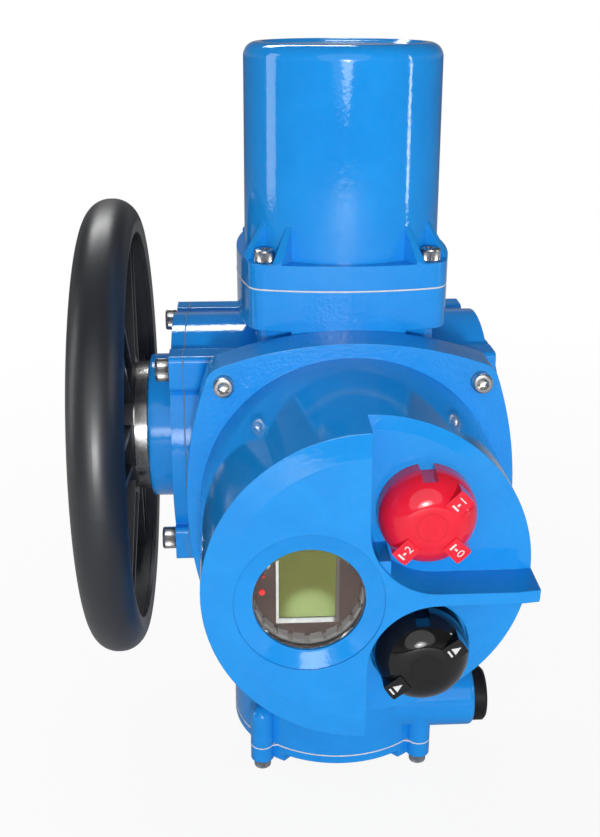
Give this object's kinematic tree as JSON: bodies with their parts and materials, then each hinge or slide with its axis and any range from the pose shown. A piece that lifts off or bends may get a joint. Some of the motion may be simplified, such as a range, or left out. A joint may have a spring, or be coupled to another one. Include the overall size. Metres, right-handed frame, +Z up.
{
  "type": "electric valve actuator",
  "caption": "Multi-turn electric valve actuator with upright motor, side handwheel, windowed control cover with two selector knobs, and terminal compartment below.",
  "frame": {"origin": "centre of the valve mounting face of the base flange", "axes": "+X along the output axis towards the valve, +Z up along the motor, -Y out of the control cover with its window and knobs"},
  "size_m": [0.3045, 0.443, 0.5325],
  "materials": {
    "housing_paint": "gloss",
    "black_paint": "satin",
    "stainless": "satin",
    "bright_steel": "machined",
    "dark_steel": "ground",
    "bearing_steel": "ground",
    "lamination_steel": "laminated",
    "bronze": "machined",
    "brass": "plated",
    "black_rubber": "matte",
    "sealant": "matte",
    "gasket_sheet": "matte",
    "red_plastic": "gloss",
    "black_plastic": "gloss",
    "window_glass": "clear",
    "display_plate": "satin",
    "lcd_glass": "clear",
    "red_led": "gloss",
    "circuit_board": "coated",
    "electronics": "matte",
    "terminal_plastic": "matte",
    "plug_plastic": "satin"
  },
  "bodies": {
    "output_drive": {"output_sleeve": "dark_steel", "drive_bush": "bright_steel", "clutch_ring": "dark_steel", "worm_wheel": "bronze"},
    "motor_rotor": {"rotor_core": "lamination_steel", "worm_shaft": "dark_steel"},
    "hand_drive": {"hand_shaft": "bright_steel", "sleeve_bush": "bronze", "handwheel": "black_paint", "handwheel_screws": "stainless", "stem_cap": "plug_plastic"},
    "red_knob": {"red_selector": "red_plastic", "red_selector_cap": "red_plastic"},
    "black_knob": {"black_selector": "black_plastic", "black_selector_cap": "black_plastic"},
    "actuator": {"gear_case": "housing_paint", "motor_cover": "housing_paint", "motor_seal": "sealant", "motor_cover_screws": "stainless", "stator": "lamination_steel", "motor_bearings": "bearing_steel", "output_bearing": "bearing_steel", "output_seal": "black_rubber", "thrust_base": "housing_paint", "base_screws": "stainless", "gear_cover_gasket": "gasket_sheet", "gear_cover": "housing_paint", "gear_cover_screws": "stainless", "hand_bearing": "bearing_steel", "control_cover": "housing_paint", "control_cover_seal": "black_rubber", "control_cover_screws": "stainless", "window_glass": "window_glass", "window_gasket": "black_rubber", "window_ring": "bright_steel", "display_plate": "display_plate", "display_board": "circuit_board", "lcd_frame": "bright_steel", "lcd_panel": "lcd_glass", "status_leds": "red_led", "control_board": "circuit_board", "power_supply": "electronics", "terminal_seal": "sealant", "terminal_cover": "housing_paint", "terminal_cover_screws": "stainless", "terminal_block": "terminal_plastic", "terminal_studs": "brass", "side_entry_plug": "plug_plastic", "rear_entry_plugs": "plug_plastic"}
  },
  "joints": [
    {"name": "motor_spin", "type": "hinge", "parent": "actuator", "child": "motor_rotor", "pos_m": [-0.118, -0.045, 0], "axis": [0, 0, 1], "continuous": true},
    {"name": "output_turn", "type": "hinge", "parent": "actuator", "child": "output_drive", "pos_m": [0, 0, 0], "axis": [1, 0, 0], "continuous": true},
    {"name": "handwheel_turn", "type": "hinge", "parent": "actuator", "child": "hand_drive", "pos_m": [-0.26, 0, 0], "axis": [1, 0, 0], "continuous": true},
    {"name": "red_knob_turn", "type": "hinge", "parent": "actuator", "child": "red_knob", "pos_m": [-0.0858, -0.245, 0.0392], "axis": [0, -1, 0], "range_deg": [-90, 90]},
    {"name": "black_knob_turn", "type": "hinge", "parent": "actuator", "child": "black_knob", "pos_m": [-0.0858, -0.237, -0.0505], "axis": [0, -1, 0], "range_deg": [-45, 45], "stiffness_Nm_per_rad": 0.1}
  ],
  "couplings": [
    {"joint": "output_turn", "follows": "motor_spin", "ratio": 0.03125}
  ]
}
